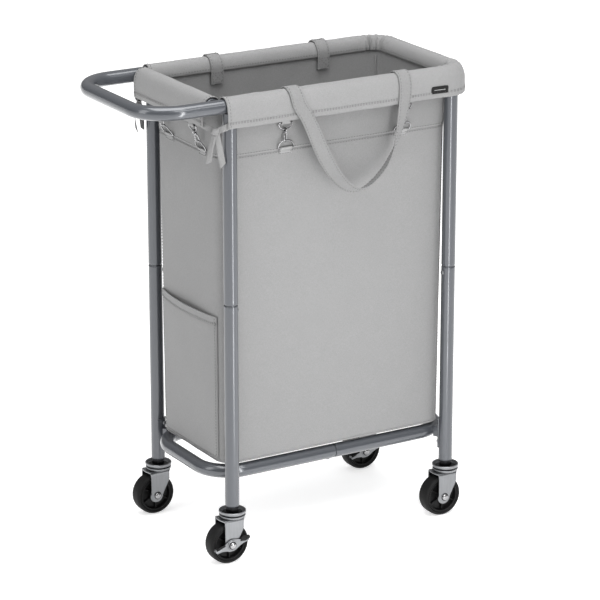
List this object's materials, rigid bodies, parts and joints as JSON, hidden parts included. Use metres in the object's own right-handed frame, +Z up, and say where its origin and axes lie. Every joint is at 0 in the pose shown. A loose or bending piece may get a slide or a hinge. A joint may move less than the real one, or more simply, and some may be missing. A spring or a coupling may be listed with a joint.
{
  "type": "laundry cart",
  "caption": "Slim rolling laundry cart: a tall fabric bag with carry straps hangs in a grey tube frame with a push handle and swivel casters.",
  "frame": {"origin": "centre of the whole cart's footprint box, on the floor under the casters", "axes": "+Z up; X along the long side with the push handle at -X; Y across, the two straps hang at -Y and +Y"},
  "size_m": [0.6537, 0.3242, 0.8406],
  "materials": {
    "frame_steel": "satin grey metallic paint",
    "zinc": "bright zinc plating",
    "chrome": "polished",
    "fabric": "woven matte, coated inside",
    "webbing": "folded and stitched strap",
    "board": "matte",
    "black_plastic": "moulded",
    "rubber": "smooth tread"
  },
  "bodies": {
    "root": {"handle_rail": "frame_steel", "rim_rail": "frame_steel", "cross_bar": "frame_steel", "lower_ring_left": "frame_steel", "lower_ring_right": "frame_steel", "ring_screw_front": "zinc", "ring_screw_back": "zinc", "upper_post_front_left": "frame_steel", "lower_post_front_left": "frame_steel", "post_screw_front_left": "zinc", "ring_saddle_front_left": "frame_steel", "caster_mount_front_left": "zinc", "upper_post_front_right": "frame_steel", "lower_post_front_right": "frame_steel", "post_screw_front_right": "zinc", "ring_saddle_front_right": "frame_steel", "caster_mount_front_right": "zinc", "upper_post_back_left": "frame_steel", "lower_post_back_left": "frame_steel", "post_screw_back_left": "zinc", "ring_saddle_back_left": "frame_steel", "caster_mount_back_left": "zinc", "upper_post_back_right": "frame_steel", "lower_post_back_right": "frame_steel", "post_screw_back_right": "zinc", "ring_saddle_back_right": "frame_steel", "caster_mount_back_right": "zinc", "bag_body": "fabric", "base_board": "board", "rim_flap": "fabric", "left_flap": "fabric", "side_pocket": "fabric"},
    "swivel_front_left": {"fork_front_left": "zinc", "axle_front_left": "zinc"},
    "wheel_front_left": {"tyre_front_left": "rubber", "wheel_hub_front_left": "black_plastic"},
    "brake_front_left": {"brake_lever_front_left": "zinc"},
    "swivel_front_right": {"fork_front_right": "zinc", "axle_front_right": "zinc"},
    "wheel_front_right": {"tyre_front_right": "rubber", "wheel_hub_front_right": "black_plastic"},
    "swivel_back_left": {"fork_back_left": "zinc", "axle_back_left": "zinc"},
    "wheel_back_left": {"tyre_back_left": "rubber", "wheel_hub_back_left": "black_plastic"},
    "swivel_back_right": {"fork_back_right": "zinc", "axle_back_right": "zinc"},
    "wheel_back_right": {"tyre_back_right": "rubber", "wheel_hub_back_right": "black_plastic"},
    "brake_back_right": {"brake_lever_back_right": "zinc"},
    "strap_front": {"carry_strap_front": "webbing"},
    "strap_back": {"carry_strap_back": "webbing"},
    "hook_front_left": {"snap_hook_front_left": "chrome"},
    "hook_front_right": {"snap_hook_front_right": "chrome"},
    "hook_back_left": {"snap_hook_back_left": "chrome"},
    "hook_back_right": {"snap_hook_back_right": "chrome"},
    "hook_left_front": {"snap_hook_left_front": "chrome"},
    "hook_left_back": {"snap_hook_left_back": "chrome"},
    "hook_right_front": {"snap_hook_right_front": "chrome"},
    "hook_right_back": {"snap_hook_right_back": "chrome"}
  },
  "joints": [
    {"name": "caster_swivel_front_left", "type": "hinge", "parent": "root", "child": "swivel_front_left", "pos_m": [-0.1614, -0.1359, 0.083], "axis": [0, 0, 1], "continuous": true},
    {"name": "wheel_spin_front_left", "type": "hinge", "parent": "swivel_front_left", "child": "wheel_front_left", "pos_m": [-0.1734, -0.1359, 0.0375], "axis": [0, 1, 0], "continuous": true},
    {"name": "brake_press_front_left", "type": "hinge", "parent": "swivel_front_left", "child": "brake_front_left", "pos_m": [-0.1734, -0.1561, 0.0375], "axis": [0, 1, 0], "range_deg": [0, 24]},
    {"name": "caster_swivel_front_right", "type": "hinge", "parent": "root", "child": "swivel_front_right", "pos_m": [0.2846, -0.1359, 0.083], "axis": [0, 0, 1], "continuous": true},
    {"name": "wheel_spin_front_right", "type": "hinge", "parent": "swivel_front_right", "child": "wheel_front_right", "pos_m": [0.2726, -0.1359, 0.0375], "axis": [0, 1, 0], "continuous": true},
    {"name": "caster_swivel_back_left", "type": "hinge", "parent": "root", "child": "swivel_back_left", "pos_m": [-0.1614, 0.1381, 0.083], "axis": [0, 0, 1], "continuous": true},
    {"name": "wheel_spin_back_left", "type": "hinge", "parent": "swivel_back_left", "child": "wheel_back_left", "pos_m": [-0.1734, 0.1381, 0.0375], "axis": [0, 1, 0], "continuous": true},
    {"name": "caster_swivel_back_right", "type": "hinge", "parent": "root", "child": "swivel_back_right", "pos_m": [0.2846, 0.1381, 0.083], "axis": [0, 0, 1], "continuous": true},
    {"name": "wheel_spin_back_right", "type": "hinge", "parent": "swivel_back_right", "child": "wheel_back_right", "pos_m": [0.2726, 0.1381, 0.0375], "axis": [0, 1, 0], "continuous": true},
    {"name": "brake_press_back_right", "type": "hinge", "parent": "swivel_back_right", "child": "brake_back_right", "pos_m": [0.2726, 0.1179, 0.0375], "axis": [0, 1, 0], "range_deg": [0, 24]},
    {"name": "strap_swing_front", "type": "hinge", "parent": "root", "child": "strap_front", "pos_m": [0.0716, -0.1569, 0.834], "axis": [-1, 0, 0], "range_deg": [0, 170]},
    {"name": "strap_swing_back", "type": "hinge", "parent": "root", "child": "strap_back", "pos_m": [0.0716, 0.1591, 0.834], "axis": [1, 0, 0], "range_deg": [0, 170]},
    {"name": "hook_swing_front_left", "type": "hinge", "parent": "root", "child": "hook_front_left", "pos_m": [-0.0474, -0.1277, 0.778], "axis": [-1, 0, 0], "range_deg": [0, 40]},
    {"name": "hook_swing_front_right", "type": "hinge", "parent": "root", "child": "hook_front_right", "pos_m": [0.1946, -0.1277, 0.778], "axis": [-1, 0, 0], "range_deg": [0, 40]},
    {"name": "hook_swing_back_left", "type": "hinge", "parent": "root", "child": "hook_back_left", "pos_m": [-0.0474, 0.1299, 0.778], "axis": [1, 0, 0], "range_deg": [0, 40]},
    {"name": "hook_swing_back_right", "type": "hinge", "parent": "root", "child": "hook_back_right", "pos_m": [0.1946, 0.1299, 0.778], "axis": [1, 0, 0], "range_deg": [0, 40]},
    {"name": "hook_swing_left_front", "type": "hinge", "parent": "root", "child": "hook_left_front", "pos_m": [-0.1929, -0.0619, 0.778], "axis": [0, 1, 0], "range_deg": [0, 40]},
    {"name": "hook_swing_left_back", "type": "hinge", "parent": "root", "child": "hook_left_back", "pos_m": [-0.1929, 0.0641, 0.778], "axis": [0, 1, 0], "range_deg": [0, 40]},
    {"name": "hook_swing_right_front", "type": "hinge", "parent": "root", "child": "hook_right_front", "pos_m": [0.3006, -0.0619, 0.778], "axis": [0, -1, 0], "range_deg": [0, 40]},
    {"name": "hook_swing_right_back", "type": "hinge", "parent": "root", "child": "hook_right_back", "pos_m": [0.3006, 0.0641, 0.778], "axis": [0, -1, 0], "range_deg": [0, 40]}
  ]
}
